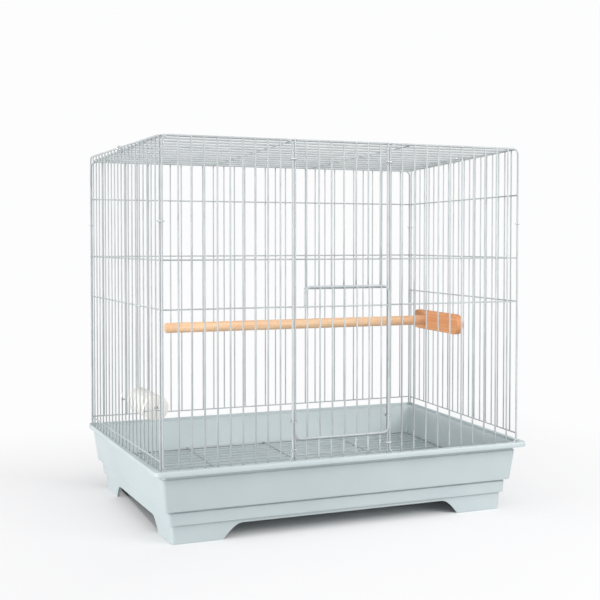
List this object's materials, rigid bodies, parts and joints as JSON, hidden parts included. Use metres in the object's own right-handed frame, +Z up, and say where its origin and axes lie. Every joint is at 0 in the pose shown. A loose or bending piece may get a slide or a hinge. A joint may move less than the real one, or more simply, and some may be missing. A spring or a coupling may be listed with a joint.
{
  "type": "bird breeding cage",
  "caption": "Small wire breeding cage on a stepped plastic tray, with a lifting front door, a wooden perch, a mineral block and a floor grate.",
  "frame": {"origin": "centre of the bounding box, on the floor under the tray's feet", "axes": "+Z up, +X to the right when facing the door, +Y to the back"},
  "size_m": [0.4162, 0.2756, 0.3708],
  "materials": {
    "tray": "smooth pale blue-grey",
    "wire": "powder coated, pale blue-grey",
    "steel": "zinc plated",
    "wood": "sanded, untreated",
    "mineral": "chalky"
  },
  "bodies": {
    "base": {"base_tray": "tray"},
    "grate": {"floor_grate": "wire"},
    "cage": {"front_left_panel": "wire", "front_right_panel": "wire", "gate_upper_panel": "wire", "gate_sill_panel": "wire", "guide_left": "wire", "guide_right": "wire", "left_panel": "wire", "right_panel": "wire", "back_panel": "wire", "roof_panel": "wire", "clip_front_left": "steel", "clip_front_right": "steel", "clip_back_right": "steel", "clip_back_left": "steel", "clip_left_bay_low": "steel", "clip_left_bay_high": "steel", "clip_right_bay_low": "steel", "clip_right_bay_high": "steel", "clip_roof_left": "steel", "clip_roof_right": "steel", "perch_dowel": "wood", "perch_plate": "wood", "perch_washer": "steel", "perch_screw": "steel", "mineral_block": "mineral", "block_hanger": "steel"},
    "door": {"sliding_door": "wire"}
  },
  "joints": [
    {"name": "cage_lift", "type": "slide", "parent": "base", "child": "cage", "axis": [0, 0, 1], "range_m": [0, 0.08]},
    {"name": "grate_lift", "type": "slide", "parent": "base", "child": "grate", "axis": [0, 0, 1], "range_m": [0, 0.06]},
    {"name": "door_slide", "type": "slide", "parent": "cage", "child": "door", "axis": [0, 0, 1], "range_m": [0, 0.1]}
  ]
}
